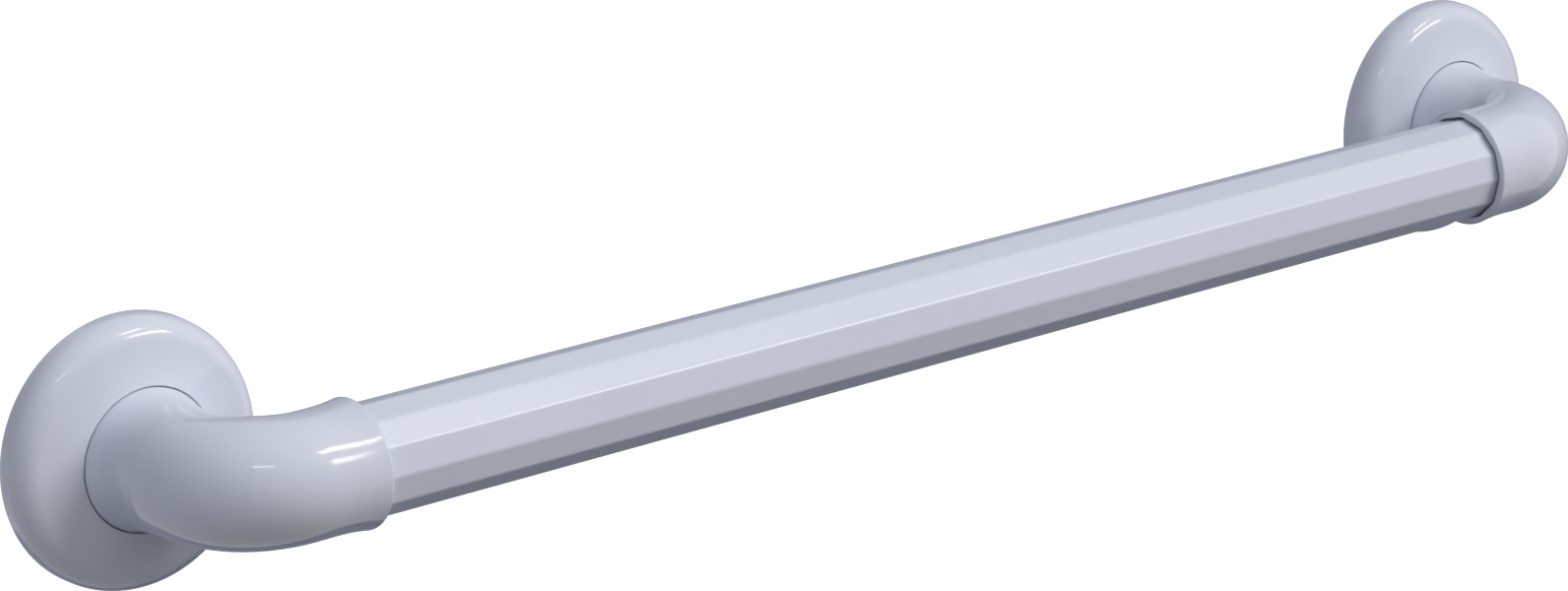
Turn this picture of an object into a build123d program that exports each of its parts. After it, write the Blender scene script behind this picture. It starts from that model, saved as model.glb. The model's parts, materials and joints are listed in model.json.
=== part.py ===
from build123d import *
import math
import os

# Grab bar for a bath or shower: a twelve-sided plastic grip on a metal tube, between two moulded elbows
# that stand on steel wall plates under round covers. Millimetres. X runs along the bar, Y points into the
# wall and Z points up. The origin lies on the wall, halfway between the two flanges.

# Overall sizes
centre_distance = 600.0  # from flange centre to flange centre
standoff = 63.0  # from the wall to the axis of the grip

# Grip sleeve and the tube inside it
grip_sides = 12
grip_across_corners = 38.0
grip_edge_rounding = 3.0
grip_turn = 2.4  # degrees, how far it sits turned in its sockets, within their play
core_diameter = 30.0
core_wall = 2.0
core_clearance = 0.1  # round the core tube, in the sleeve and in the elbow

# Elbow
bend_radius = 27.5  # of the centre line
elbow_reach = 46.8  # from the flange's axis to the end of the collar
collar_wall = 2.2  # round the corners of the sleeve's socket
collar_edge_rounding = 0.9
bend_end_waist = 1.1  # how much smaller the skin's radius is there than at the end of the collar
bend_middle_waist_across = 1.7
bend_middle_waist_up = 0.5
bend_start_waist = 1.0
neck_flare = 2.9  # how much wider the skin's radius is at the cover than where the bend starts
socket_depth = 8.0  # how far the sleeve enters the collar
socket_clearance = 0.8  # round the sleeve, at its corners
socket_edge_chamfer = 0.35
core_insertion = 28.0  # how deep the core bore reaches, from the end of the collar
end_play = 0.4  # behind the ends of the sleeve and of the core tube

# Foot of the elbow, hidden under the cover
foot_flange_width = 3.1  # all round the neck
foot_flange_thickness = 3.5
foot_wall = 4.5  # between the neck's skin and the cavity
foot_cavity_roof = 8.9  # between the cavity and the core bore
foot_cavity_draft = 2.0  # degrees
foot_cavity_rounding = 3.0
boss_radius = 4.6
boss_root = 0.4  # how far a boss runs into the cavity's wall
boss_hole_depth = 14.0

# Cover
cover_radius = 46.0
cover_wall = 2.5
cover_side_draft = 1.5  # degrees
cover_shoulder_radius = 9.0
cover_shoulder_height = 12.65  # from the wall to where the shoulder meets the face
cover_face_slope = 9.0  # degrees, where the face starts at the shoulder
cover_neck_height = 15.6  # from the wall to the edge round the neck
cover_neck_clearance = 0.3
cover_edge_rounding = 0.3
cover_wall_gap = 0.3  # between the rim and the wall
cover_rib_count = 8
cover_rib_width = 1.8
cover_rib_height = 6.0
cover_rib_clearance = 0.1  # between a rib and the rim of the wall plate

# Wall plate and its holes
plate_thickness = 3.0
plate_chamfer = 0.6
plate_margin = 4.0  # between the edge of the plate and the outside of the cover
wall_hole_count = 3
wall_hole_radius = 3.25
wall_hole_edge_distance = 8.0  # from the hole's centre to the edge of the plate

# Countersunk screws that hold the elbow's foot to the plate
plate_screw_count = 3
plate_screw_radius = 2.0
plate_screw_head_radius = 3.9
plate_screw_head_rim = 0.3
plate_screw_length = 14.0
screw_hole_clearance = 0.05
plate_hole_clearance = 0.25
countersink_clearance = 0.1

# Pan-head screw through the wall side of the collar into the core tube
tube_screw_radius = 2.0
tube_screw_head_radius = 3.8
tube_screw_head_height = 2.0
tube_screw_head_rounding = 0.8
tube_screw_reach = 3.0  # how far it goes past the outside of the core tube
tube_screw_socket_distance = 5.5  # from the bottom of the sleeve's socket to the screw's axis
tube_screw_head_clearance = 0.3
tube_screw_sink = 3.5  # how deep the head is seated below the outside of the collar

# Cross recess of every screw
recess_span = 3.6
recess_width = 0.9
recess_depth = 1.2
screw_tip = 1.2

# Sizes that follow from those above
grip_radius = grip_across_corners / 2
core_radius = core_diameter / 2
core_bore_radius = core_radius + core_clearance
half_centres = centre_distance / 2
collar_end = half_centres - elbow_reach
sleeve_half_length = collar_end + socket_depth - end_play
core_half_length = collar_end + core_insertion - end_play
socket_radius = grip_radius + socket_clearance
collar_radius = socket_radius + collar_wall
bend_start_radius = collar_radius - bend_start_waist
neck_radius = bend_start_radius + neck_flare
foot_cavity_radius = neck_radius - foot_wall
foot_cavity_depth = standoff - core_bore_radius - foot_cavity_roof - plate_thickness
plate_screw_circle_radius = foot_cavity_radius + boss_root - boss_radius
cover_hole_radius = neck_radius + cover_neck_clearance
plate_radius = cover_radius - plate_margin
wall_hole_circle_radius = plate_radius - wall_hole_edge_distance
tube_screw_x = collar_end + socket_depth + tube_screw_socket_distance
tube_screw_seat = standoff - collar_radius + tube_screw_sink
tube_screw_length = standoff - core_radius - tube_screw_seat + tube_screw_reach

os.makedirs("parts", exist_ok=True)

# The left flange: its face towards the room, its back, and a half section through its axis
flange_front = Plane(origin=(-half_centres, 0, 0), x_dir=(1, 0, 0), z_dir=(0, -1, 0))
flange_back = Plane(origin=(-half_centres, 0, 0), x_dir=(1, 0, 0), z_dir=(0, 1, 0))
flange_section = Plane(origin=(-half_centres, 0, 0), x_dir=(1, 0, 0), z_dir=(0, 0, -1))
flange_axis = Axis((-half_centres, 0, 0), (0, -1, 0))


def bar_plane(x, direction=1):
    # Across the bar at x, with its own X towards the room, where a corner of each socket points
    return Plane(origin=(x, -standoff, 0), x_dir=(0, -1, 0), z_dir=(direction, 0, 0))


def write(piece, name):
    piece.part.label = name
    export_step(piece.part, f"parts/{name}.step")


def write_pair(piece, name):
    # Both ends use the same piece: the right one is the left one turned half a turn about the wall's normal
    write(piece, f"left_{name}")
    with BuildPart() as turned:
        add(piece.part, rotation=(0, 180, 0))
    write(turned, f"right_{name}")


def across(line, place):
    # Across the elbow's route at a place on one of its lines, with its own X straight up
    return Plane(origin=line @ place, x_dir=(0, 0, 1), z_dir=line % place)


def cross_recess(plane):
    # Outline of a screw's recess, to be cut along the plane's normal
    with BuildSketch(plane) as cross:
        Rectangle(recess_span, recess_width)
        Rectangle(recess_width, recess_span)
    return cross.sketch


# Grip sleeve: an extruded twelve-sided tube with softly rounded edges
with BuildPart() as grip_sleeve:
    with BuildSketch(bar_plane(-sleeve_half_length)) as grip_outline:
        RegularPolygon(radius=grip_radius, side_count=grip_sides, rotation=grip_turn)
        fillet(grip_outline.vertices(), radius=grip_edge_rounding)
        Circle(core_bore_radius, mode=Mode.SUBTRACT)
    extrude(amount=2 * sleeve_half_length)
write(grip_sleeve, "grip_sleeve")

# Core tube, drilled near each end for the screw that locks it in its elbow
with BuildPart() as core_tube:
    with BuildSketch(bar_plane(-core_half_length)):
        Circle(core_radius)
        Circle(core_radius - core_wall, mode=Mode.SUBTRACT)
    extrude(amount=2 * core_half_length)
    with BuildSketch(Plane.XZ.offset(standoff)):
        with Locations((-tube_screw_x, 0), (tube_screw_x, 0)):
            Circle(tube_screw_radius + screw_hole_clearance)
    extrude(amount=-core_radius, mode=Mode.SUBTRACT)
write(core_tube, "core_tube")

# Elbow: one skin swept from the neck, round the bend, to the collar. Its section is round at both ends and
# a little taller than it is wide in the middle of the bend. Under the cover it goes on as a plain round
# foot with a flange. It is moulded hollow: a cavity from the wall side holds the bosses for the plate
# screws, and a stepped bore from the bar's side takes the sleeve and, deeper, the core tube.
with BuildPart() as left_elbow:
    with BuildLine():
        neck_run = Line((-half_centres, -cover_neck_height), (-half_centres, bend_radius - standoff))
        bend = JernArc(neck_run @ 1, neck_run % 1, bend_radius, 90)
        collar_run = Line(bend @ 1, (-collar_end, -standoff))
    with BuildSketch(across(neck_run, 0)):
        Circle(neck_radius)
    with BuildSketch(across(bend, 0)):
        Circle(bend_start_radius)
    with BuildSketch(across(bend, 0.5)):
        Ellipse(collar_radius - bend_middle_waist_up, collar_radius - bend_middle_waist_across)
    with BuildSketch(across(bend, 1)):
        Circle(collar_radius - bend_end_waist)
    with BuildSketch(across(collar_run, 1)):
        Circle(collar_radius)
    sweep(multisection=True)
    fillet(left_elbow.edges().sort_by(Axis.X)[-1], radius=collar_edge_rounding)

    with BuildSketch(flange_front.offset(plate_thickness)):
        Circle(neck_radius)
    extrude(amount=cover_neck_height - plate_thickness)
    with BuildSketch(flange_front.offset(plate_thickness)):
        Circle(neck_radius + foot_flange_width)
    extrude(amount=foot_flange_thickness)

    with BuildSketch(flange_front.offset(plate_thickness)):
        Circle(foot_cavity_radius)
    extrude(amount=foot_cavity_depth, taper=foot_cavity_draft, mode=Mode.SUBTRACT)
    cavity_end = left_elbow.edges().filter_by(GeomType.CIRCLE).filter_by_position(
        Axis.Y, -plate_thickness - foot_cavity_depth - 0.1, -plate_thickness - foot_cavity_depth + 0.1
    )
    fillet(cavity_end, radius=foot_cavity_rounding)
    with BuildSketch(flange_front.offset(plate_thickness)):
        with PolarLocations(plate_screw_circle_radius, plate_screw_count):
            Circle(boss_radius)
    extrude(amount=foot_cavity_depth)
    with BuildSketch(flange_front.offset(plate_thickness)):
        with PolarLocations(plate_screw_circle_radius, plate_screw_count):
            Circle(plate_screw_radius + screw_hole_clearance)
    extrude(amount=boss_hole_depth, mode=Mode.SUBTRACT)

    with BuildSketch(bar_plane(-collar_end, -1)) as socket_outline:
        RegularPolygon(radius=socket_radius, side_count=grip_sides)
        fillet(socket_outline.vertices(), radius=grip_edge_rounding + socket_clearance)
    extrude(amount=socket_depth, mode=Mode.SUBTRACT)
    mouth = left_elbow.faces().sort_by(Axis.X)[-1].inner_wires()[0]
    chamfer(mouth.edges(), length=socket_edge_chamfer)
    with BuildSketch(bar_plane(-collar_end, -1)):
        Circle(core_bore_radius)
    extrude(amount=core_insertion, mode=Mode.SUBTRACT)

    with BuildSketch(Plane.XZ.offset(tube_screw_seat)):
        with Locations((-tube_screw_x, 0)):
            Circle(tube_screw_head_radius + tube_screw_head_clearance)
    extrude(amount=-tube_screw_seat + cover_neck_height, mode=Mode.SUBTRACT)
    with BuildSketch(Plane.XZ.offset(tube_screw_seat)):
        with Locations((-tube_screw_x, 0)):
            Circle(tube_screw_radius + screw_hole_clearance)
    extrude(amount=tube_screw_length, mode=Mode.SUBTRACT)
write_pair(left_elbow, "elbow")

# Cover: a thin round dome. Its side leans in a little, its shoulder rolls over to the face, and the face
# climbs from there to the edge round the elbow's neck. Ribs inside grip the rim of the wall plate.
with BuildPart() as left_cover:
    with BuildSketch(flange_section) as cover_profile:
        with BuildLine():
            draft = math.radians(cover_side_draft)
            slope = math.radians(cover_face_slope)
            side_top = cover_shoulder_height - cover_shoulder_radius * (math.cos(slope) - math.sin(draft))
            side = Line((cover_radius, 0), (cover_radius - side_top * math.tan(draft), side_top))
            shoulder_turn = 90 - cover_side_draft - cover_face_slope
            shoulder = JernArc(side @ 1, side % 1, cover_shoulder_radius, shoulder_turn)
            TangentArc(shoulder @ 1, (neck_radius, cover_neck_height), tangent=shoulder % 1)
            offset(amount=cover_wall, side=Side.LEFT)
        make_face()
        with Locations((cover_hole_radius, cover_wall_gap)):
            Rectangle(cover_radius, cover_radius, align=Align.MIN, mode=Mode.INTERSECT)
        neck_corner = cover_profile.vertices().group_by(Axis.X)[0].sort_by(Axis.Y)[-1]
        rim_corner = cover_profile.vertices().group_by(Axis.Y)[0].sort_by(Axis.X)[-1]
        fillet((neck_corner, rim_corner), radius=cover_edge_rounding)
    revolve(axis=flange_axis)
    with BuildSketch(flange_front.offset(cover_wall_gap)):
        rib_foot = plate_radius + cover_rib_clearance
        rib_end = cover_radius - cover_wall / 2
        with PolarLocations((rib_foot + rib_end) / 2, cover_rib_count, start_angle=180 / cover_rib_count):
            Rectangle(rib_end - rib_foot, cover_rib_width)
    extrude(amount=cover_rib_height)
write_pair(left_cover, "cover")

# Wall plate: a steel disc with plain holes for the wall screws, one on the side away from the bar and two
# towards it, and countersunk holes from the back for the screws into the elbow's foot
with BuildPart() as left_wall_plate:
    with BuildSketch(flange_front):
        Circle(plate_radius)
    extrude(amount=plate_thickness)
    chamfer(left_wall_plate.edges().group_by(Axis.Y)[0], length=plate_chamfer)
    with Locations(flange_front.offset(plate_thickness)):
        with PolarLocations(wall_hole_circle_radius, wall_hole_count, start_angle=180):
            Hole(wall_hole_radius)
    with Locations(flange_back):
        with PolarLocations(plate_screw_circle_radius, plate_screw_count):
            CounterSinkHole(
                plate_screw_radius + plate_hole_clearance,
                plate_screw_head_radius + plate_screw_head_rim + countersink_clearance,
                counter_sink_angle=90,
            )
write_pair(left_wall_plate, "wall_plate")

# Plate screws: countersunk heads flush with the back of the wall plate
for number in range(plate_screw_count):
    angle = math.radians(number * 360 / plate_screw_count)
    spot = (
        -half_centres + plate_screw_circle_radius * math.cos(angle),
        0,
        plate_screw_circle_radius * math.sin(angle),
    )
    with BuildPart() as left_plate_screw:
        with BuildSketch(Plane(origin=spot, x_dir=(1, 0, 0), z_dir=(0, 0, -1))):
            with BuildLine():
                Polyline(
                    (0, 0),
                    (plate_screw_head_radius, 0),
                    (plate_screw_head_radius, plate_screw_head_rim),
                    (plate_screw_radius, plate_screw_head_rim + plate_screw_head_radius - plate_screw_radius),
                    (plate_screw_radius, plate_screw_length - screw_tip),
                    (plate_screw_radius / 2, plate_screw_length),
                    (0, plate_screw_length),
                    close=True,
                )
            make_face()
        revolve(axis=Axis(spot, (0, -1, 0)))
        recess = cross_recess(Plane(origin=spot, x_dir=(1, 0, 0), z_dir=(0, -1, 0)))
        extrude(recess, amount=recess_depth, mode=Mode.SUBTRACT)
    write_pair(left_plate_screw, f"plate_screw_{number + 1}")

# Tube screw: a pan head that faces the wall, and a shank through the collar into the core tube
with BuildPart() as left_tube_screw:
    seat = Plane(origin=(-tube_screw_x, -tube_screw_seat, 0), x_dir=(1, 0, 0), z_dir=(0, 1, 0))
    with BuildSketch(seat):
        Circle(tube_screw_head_radius)
    extrude(amount=tube_screw_head_height)
    fillet(left_tube_screw.edges().sort_by(Axis.Y)[-1], radius=tube_screw_head_rounding)
    with BuildSketch(seat):
        Circle(tube_screw_radius)
    extrude(amount=-tube_screw_length)
    chamfer(left_tube_screw.edges().sort_by(Axis.Y)[0], length=tube_screw_radius / 2)
    recess = cross_recess(seat.offset(tube_screw_head_height))
    extrude(recess, amount=-recess_depth, mode=Mode.SUBTRACT)
write_pair(left_tube_screw, "tube_screw")
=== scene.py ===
import bpy
import json
from math import radians
from mathutils import Matrix, Vector

# Grab bar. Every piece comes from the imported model; here the pieces get their finishes, and then the floor,
# the camera and the lamps are set. Metres, in the model's own frame.

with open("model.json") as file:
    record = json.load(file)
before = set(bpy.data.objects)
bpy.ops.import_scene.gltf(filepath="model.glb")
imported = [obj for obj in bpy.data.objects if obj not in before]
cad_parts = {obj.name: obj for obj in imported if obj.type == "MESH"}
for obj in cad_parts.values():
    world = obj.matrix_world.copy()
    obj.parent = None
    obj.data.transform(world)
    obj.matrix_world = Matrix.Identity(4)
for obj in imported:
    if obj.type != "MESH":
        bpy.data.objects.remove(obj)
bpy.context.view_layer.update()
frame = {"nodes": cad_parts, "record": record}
nodes = frame["nodes"]
print("model loaded:", len(nodes), "pieces")


class Wire:
    # a node's output that can stand in arithmetic
    def __init__(self, sheet, socket):
        self.sheet = sheet
        self.socket = socket

    def calc(self, operation, first, second):
        return self.sheet.node("ShaderNodeMath", {"operation": operation}, {0: first, 1: second})

    def __add__(self, other):
        return self.calc("ADD", self, other)

    def __radd__(self, other):
        return self.calc("ADD", other, self)

    def __sub__(self, other):
        return self.calc("SUBTRACT", self, other)

    def __rsub__(self, other):
        return self.calc("SUBTRACT", other, self)

    def __mul__(self, other):
        return self.calc("MULTIPLY", self, other)

    def __rmul__(self, other):
        return self.calc("MULTIPLY", other, self)


class Sheet:
    # the node tree of one material or of the world
    def __init__(self, tree):
        self.tree = tree
        tree.nodes.clear()

    def node(self, kind, settings, inputs, output=0):
        made = self.tree.nodes.new(kind)
        for name, value in settings.items():
            if name == "stops":
                for stop, (place, shade) in zip(made.color_ramp.elements, value):
                    stop.position = place
                    stop.color = (shade, shade, shade, 1)
            else:
                setattr(made, name, value)
        for name, value in inputs.items():
            if isinstance(value, Wire):
                self.tree.links.new(value.socket, made.inputs[name])
            else:
                made.inputs[name].default_value = value
        if made.outputs:
            return Wire(self, made.outputs[output])

    def place(self, alongBar=1):
        # below 1, alongBar draws a pattern out along the bar
        spot = self.node("ShaderNodeTexCoord", {}, {}, "Object")
        return self.node("ShaderNodeVectorMath", {"operation": "MULTIPLY"}, {0: spot, 1: (alongBar, 1, 1)})

    def noise(self, perMetre, detail, alongBar=1):
        # about 0.5 on average, with grains of 1 / perMetre
        return self.node("ShaderNodeTexNoise", {},
                         {"Vector": self.place(alongBar), "Scale": perMetre, "Detail": detail}, "Fac")

    def ramp(self, value, stops):
        return self.node("ShaderNodeValToRGB", {"stops": stops}, {"Fac": value})

    def mix(self, amount, first, second):
        return self.node("ShaderNodeMix", {"data_type": "RGBA"}, {"Factor": amount, 6: first, 7: second}, 2)

    def seen(self):
        # 1 for what the camera, a reflection or a clear piece shows, 0 for light that only lights
        camera, glossy, clear = [self.node("ShaderNodeLightPath", {}, {}, ray)
                                 for ray in ("Is Camera Ray", "Is Glossy Ray", "Is Transmission Ray")]
        return camera.calc("MAXIMUM", camera, glossy.calc("MAXIMUM", glossy, clear))

    def bump(self, height, distance, under=None):
        inputs = {"Height": height, "Distance": distance, "Strength": 1.0}
        if under:
            inputs["Normal"] = under
        return self.node("ShaderNodeBump", {}, inputs)


white = (1, 1, 1, 1)
black = (0, 0, 0, 1)


def rgba(colour):
    return (*colour, 1)


def tinted(colour, share):
    return rgba(part * share for part in colour)


def newMaterial(name):
    material = bpy.data.materials.new(name)
    material.use_nodes = True
    return material, Sheet(material.node_tree)


def addSurface(sheet, inputs):
    surface = sheet.node("ShaderNodeBsdfPrincipled", {}, inputs)
    sheet.node("ShaderNodeOutputMaterial", {}, {"Surface": surface})


# What both plastics share
plasticRefraction = 1.45
smudgeStops = [(0.42, 0), (0.7, 1)]  # where a smudge begins, and where it is full


def cloudedColour(sheet, look):
    # the plastic's colour, a touch darker in wide clouds
    cloud = sheet.noise(look["cloudsPerMetre"], detail=3)
    return sheet.mix(cloud, tinted(look["colour"], 1 - look["shadeVariation"]), rgba(look["colour"]))


def smudgedRoughness(sheet, look):
    # duller in smudges, as from hands
    smudge = sheet.ramp(sheet.noise(look["smudgesPerMetre"], 4, look["smudgesAlongBar"]), smudgeStops)
    return look["roughness"] + look["roughnessVariation"] * smudge


# Plastic of the grip: extruded, so what unevenness it has runs along the bar
gripPlastic = {
    "colour": (0.668, 0.698, 0.79),
    "shadeVariation": 0.03,
    "cloudsPerMetre": 30,
    "roughness": 0.2,
    "roughnessVariation": 0.05,
    "smudgesPerMetre": 45,
    "smudgesAlongBar": 0.6,
    "linesPerMetre": 900,
    "linesAlongBar": 0.004,
    "lineHeight": 0.000003,
    "wavesPerMetre": 35,
    "wavesAlongBar": 0.35,
    "waveHeight": 0.00001,
}


def makeGripPlastic(look):
    material, sheet = newMaterial("gripPlastic")
    lines = sheet.noise(look["linesPerMetre"], 2, look["linesAlongBar"])
    waves = sheet.noise(look["wavesPerMetre"], 1, look["wavesAlongBar"])
    lined = sheet.bump(lines, look["lineHeight"])
    addSurface(sheet, {
        "Base Color": cloudedColour(sheet, look),
        "Roughness": smudgedRoughness(sheet, look),
        "IOR": plasticRefraction,
        "Normal": sheet.bump(waves, look["waveHeight"], lined),
    })
    return material


# Plastic of the elbows and covers: moulded and polished, with a faint ripple
mouldedPlastic = {
    "colour": (0.668, 0.698, 0.79),
    "shadeVariation": 0.03,
    "cloudsPerMetre": 24,
    "roughness": 0.09,
    "roughnessVariation": 0.04,
    "smudgesPerMetre": 50,
    "smudgesAlongBar": 1,
    "ripplesPerMetre": 120,
    "rippleHeight": 0.00001,
}


def makeMouldedPlastic(look):
    material, sheet = newMaterial("mouldedPlastic")
    ripples = sheet.noise(look["ripplesPerMetre"], detail=2)
    addSurface(sheet, {
        "Base Color": cloudedColour(sheet, look),
        "Roughness": smudgedRoughness(sheet, look),
        "IOR": plasticRefraction,
        "Normal": sheet.bump(ripples, look["rippleHeight"]),
    })
    return material


# Zinc plating of the wall plates and screws: small crystals, duller in patches
zinc = {
    "colour": (0.56, 0.57, 0.6),
    "dullColour": (0.42, 0.43, 0.45),
    "roughness": 0.32,
    "patchesPerMetre": 60,
    "patchRoughness": 0.25,
    "crystalsPerMetre": 700,
    "crystalPolish": 0.1,
    "crystalHeight": 0.00003,
}


def makeZinc(look):
    material, sheet = newMaterial("zinc")
    crystals = sheet.node("ShaderNodeTexVoronoi", {"feature": "F1"},
                          {"Vector": sheet.place(), "Scale": look["crystalsPerMetre"]}, "Distance")
    patches = sheet.noise(look["patchesPerMetre"], detail=5)
    roughness = look["roughness"] + look["patchRoughness"] * patches - look["crystalPolish"] * crystals
    addSurface(sheet, {
        "Base Color": sheet.mix(patches, rgba(look["dullColour"]), rgba(look["colour"])),
        "Roughness": roughness,
        "Metallic": 1.0,
        "Normal": sheet.bump(crystals, look["crystalHeight"]),
    })
    return material


# Aluminium of the core tube, drawn, with lines along it
aluminium = {
    "colour": (0.78, 0.785, 0.8),
    "dullColour": (0.6, 0.605, 0.62),
    "roughness": 0.3,
    "patchesPerMetre": 40,
    "patchesAlongBar": 0.3,
    "linesPerMetre": 1500,
    "linesAlongBar": 0.01,
    "lineRoughness": 0.2,
    "lineHeight": 0.00002,
}


def makeAluminium(look):
    material, sheet = newMaterial("aluminium")
    lines = sheet.noise(look["linesPerMetre"], 3, look["linesAlongBar"])
    patches = sheet.noise(look["patchesPerMetre"], 4, look["patchesAlongBar"])
    addSurface(sheet, {
        "Base Color": sheet.mix(patches, rgba(look["dullColour"]), rgba(look["colour"])),
        "Roughness": look["roughness"] + look["lineRoughness"] * lines,
        "Metallic": 1.0,
        "Normal": sheet.bump(lines, look["lineHeight"]),
    })
    return material


finishes = {
    "grip_plastic": makeGripPlastic(gripPlastic),
    "moulded_plastic": makeMouldedPlastic(mouldedPlastic),
    "plate_steel": makeZinc(zinc),
    "screw_steel": makeZinc(zinc),
    "core_metal": makeAluminium(aluminium),
}
for part in frame["record"]["subparts"]:
    nodes[part["node"]].material_slots[0].material = finishes[part["material_slot"]]
print("finishes set:", len(finishes))


def makeSquare(name, size, material):
    # a flat square of the stage, facing up
    half = size / 2
    corners = [(-half, -half, 0), (half, -half, 0), (half, half, 0), (-half, half, 0)]
    mesh = bpy.data.meshes.new(name)
    mesh.from_pydata(corners, [], [(0, 1, 2, 3)])
    mesh.materials.append(material)
    square = bpy.data.objects.new(name, mesh)
    bpy.context.scene.collection.objects.link(square)
    return square


# Floor, as far below as under a bar on its wall: pale where it is seen, and dark to the light that would
# come back up from it. It takes shadows, and lets the light from below through.
floorLook = {
    "height": -1.1,
    "size": 60,
    "colour": (0.8, 0.8, 0.8),
    "specklesPerMetre": 3,
    "speckleShade": 0.98,
    "roughness": 0.8,
    "glow": 0.6,
    "bounceColour": (0.05, 0.05, 0.06),
}


def makeFloor(look):
    material, sheet = newMaterial("floorPaint")
    speckles = sheet.noise(look["specklesPerMetre"], detail=3)
    colour = sheet.mix(speckles, tinted(look["colour"], look["speckleShade"]), rgba(look["colour"]))
    pale = sheet.node("ShaderNodeBsdfPrincipled", {}, {
        "Base Color": colour,
        "Roughness": look["roughness"],
        "Emission Color": white,
        "Emission Strength": look["glow"],
    })
    dark = sheet.node("ShaderNodeBsdfDiffuse", {}, {"Color": rgba(look["bounceColour"])})
    both = sheet.node("ShaderNodeMixShader", {}, {"Fac": sheet.seen(), 1: dark, 2: pale})
    sheet.node("ShaderNodeOutputMaterial", {}, {"Surface": both})
    floor = makeSquare("floor", look["size"], material)
    floor.location = (0, 0, look["height"])
    floor.visible_shadow = False


makeFloor(floorLook)
print("floor set")

# Camera: angles in degrees, the azimuth from +Y towards +X; lens and sensor in millimetres
cameraLook = {
    "place": (-1.1013, -1.3281, 0.5130),
    "azimuth": 39.00,
    "downwards": 16.89,
    "roll": 1.27,
    "lens": 115.82,
    "sensor": 36,
    "farthest": 200,
}


def makeCamera(look):
    data = bpy.data.cameras.new("camera")
    data.lens = look["lens"]
    data.sensor_width = look["sensor"]
    data.sensor_fit = "HORIZONTAL"
    data.clip_end = look["farthest"]
    camera = bpy.data.objects.new("camera", data)
    bpy.context.scene.collection.objects.link(camera)
    camera.matrix_world = (Matrix.Translation(look["place"])
                           @ Matrix.Rotation(radians(-look["azimuth"]), 4, "Z")
                           @ Matrix.Rotation(radians(90 - look["downwards"]), 4, "X")
                           @ Matrix.Rotation(radians(-look["roll"]), 4, "Z"))
    bpy.context.scene.camera = camera


makeCamera(cameraLook)
print("camera set")

# Lamps. The suns light the surfaces and don't show in the gloss: angles in degrees, azimuth from the room's
# side (-Y) towards +X. The panels are the bright streaks in the gloss.
suns = {
    "key": {"azimuth": 45, "elevation": 40, "strength": 2.65, "colour": (1, 0.987, 0.97)},
    "frontFill": {"azimuth": -10, "elevation": 30, "strength": 0.5, "colour": (1, 0.96, 0.93)},
    "leftFill": {"azimuth": -60, "elevation": 40, "strength": 0.15, "colour": (0.85, 0.95, 1)},
    "sideFill": {"azimuth": -90, "elevation": 10, "strength": 0.72, "colour": (0.93, 0.93, 1)},
    "lowFill": {"azimuth": 45, "elevation": -20, "strength": 0.32, "colour": (0.86, 0.9, 1)},
    "underFill": {"azimuth": 180, "elevation": -60, "strength": 0.5, "colour": (0.76, 0.9, 1)},
    "backFill": {"azimuth": 165, "elevation": -5, "strength": 1.0, "colour": (0.9, 0.95, 1)},
}
sunSpread = 40
sunDistance = 3
panels = {
    "upper": {"place": (1.4, -1.9, 2.62), "width": 0.85, "height": 0.33, "power": 12},
    "lower": {"place": (1.47, -1.93, 1.4), "width": 1.15, "height": 0.36, "power": 16},
    "left": {"place": (-1.2, -1.85, 1.85), "width": 0.7, "height": 0.14, "power": 2.4},
}


def towards(azimuth, elevation):
    turn = Matrix.Rotation(radians(azimuth), 4, "Z") @ Matrix.Rotation(radians(-elevation), 4, "X")
    return turn @ Vector((0, -1, 0))


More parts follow.
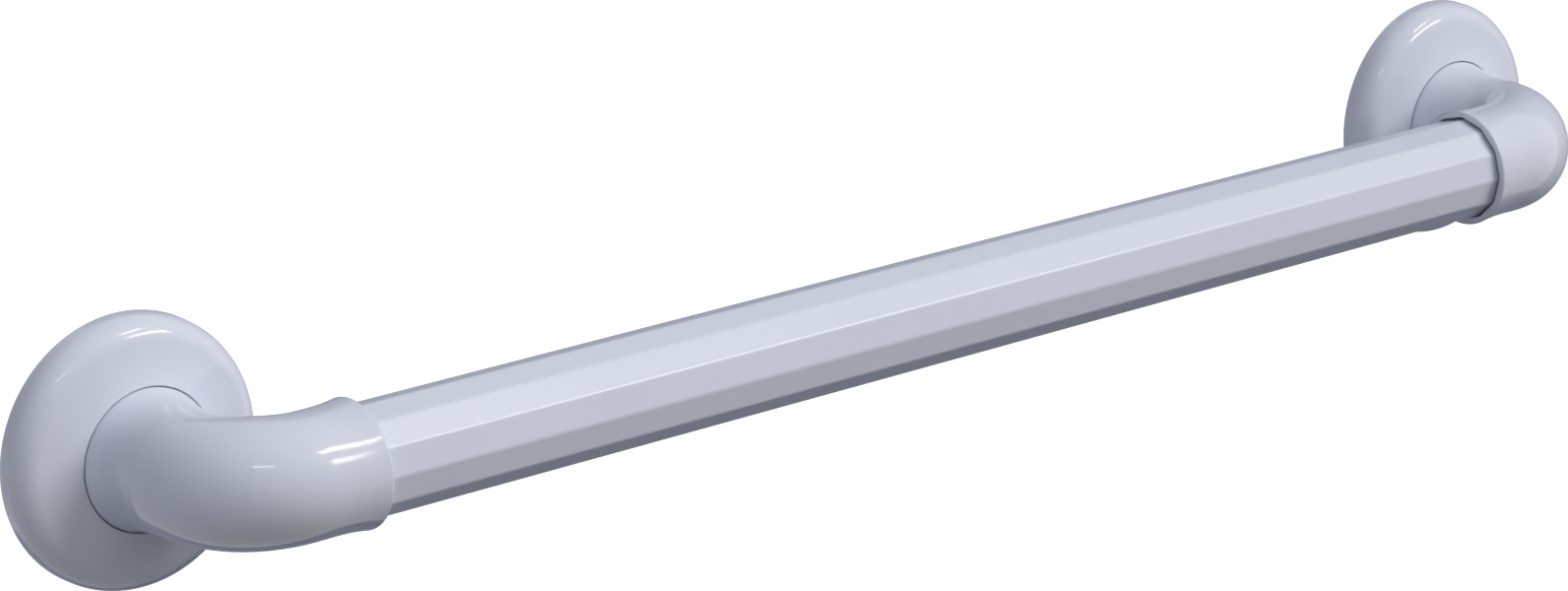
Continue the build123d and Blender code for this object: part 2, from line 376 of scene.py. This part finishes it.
def addLamp(name, kind, place, settings):
    data = bpy.data.lights.new(name, kind)
    for key, value in settings.items():
        setattr(data, key, value)
    lamp = bpy.data.objects.new(name, data)
    bpy.context.scene.collection.objects.link(lamp)
    lamp.location = place
    lamp.rotation_euler = (-Vector(place)).to_track_quat("-Z", "Y").to_euler()
    return lamp


for name, look in suns.items():
    sun = addLamp(name, "SUN", towards(look["azimuth"], look["elevation"]) * sunDistance,
                  {"energy": look["strength"], "color": look["colour"], "angle": radians(sunSpread)})
    sun.visible_glossy = False
for name, look in panels.items():
    panel = addLamp(name + "Panel", "AREA", look["place"], {
        "shape": "RECTANGLE", "size": look["width"], "size_y": look["height"], "energy": look["power"]})
    panel.visible_diffuse = False
print("lamps set:", len(suns), "suns and", len(panels), "panels")

# Card behind the bar: a glowing dark sheet that shows only in the gloss, a painted reflection. It keeps the
# edges that turn away from the camera darker than the white behind them
paintedReflectionCardLook = {
    "azimuth": 141,
    "elevation": -16.9,
    "distance": 0.6,
    "size": 2.0,
    # colour of the painted reflection: the card glows with it, seen only in the gloss
    "colour": (0.26, 0.27, 0.35),
    "hiddenFrom": ("camera", "diffuse", "transmission", "volume_scatter", "shadow"),
}


def makePaintedReflectionCard(look):
    material, sheet = newMaterial("cardReflectionGlow")
    addSurface(sheet, {
        "Base Color": black,
        "Roughness": 1.0,
        "Specular IOR Level": 0.0,
        # the glow that the reflections show, painted dark; it lights nothing
        "Emission Color": rgba(look["colour"]),
        "Emission Strength": 1.0,
    })
    card = makeSquare("card", look["size"], material)
    card.location = towards(look["azimuth"], look["elevation"]) * look["distance"]
    card.rotation_euler = (-card.location).to_track_quat("Z", "Y").to_euler()
    for ray in look["hiddenFrom"]:
        setattr(card, "visible_" + ray, False)


makePaintedReflectionCard(paintedReflectionCardLook)

# Room: a weak blue light from all round, and white where the room itself is seen
skyLook = {"colour": (0.2, 0.3, 1.0), "strength": 0.05}


def makeSky(look):
    world = bpy.data.worlds.new("room")
    world.use_nodes = True
    bpy.context.scene.world = world
    sheet = Sheet(world.node_tree)
    lit = sheet.node("ShaderNodeBackground", {},
                     {"Color": rgba(look["colour"]), "Strength": look["strength"]})
    shown = sheet.node("ShaderNodeBackground", {}, {"Color": white, "Strength": 1.0})
    both = sheet.node("ShaderNodeMixShader", {}, {"Fac": sheet.seen(), 1: lit, 2: shown})
    sheet.node("ShaderNodeOutputWorld", {}, {"Surface": both})


makeSky(skyLook)
bpy.context.scene.view_settings.view_transform = "Standard"
print("card and room set")
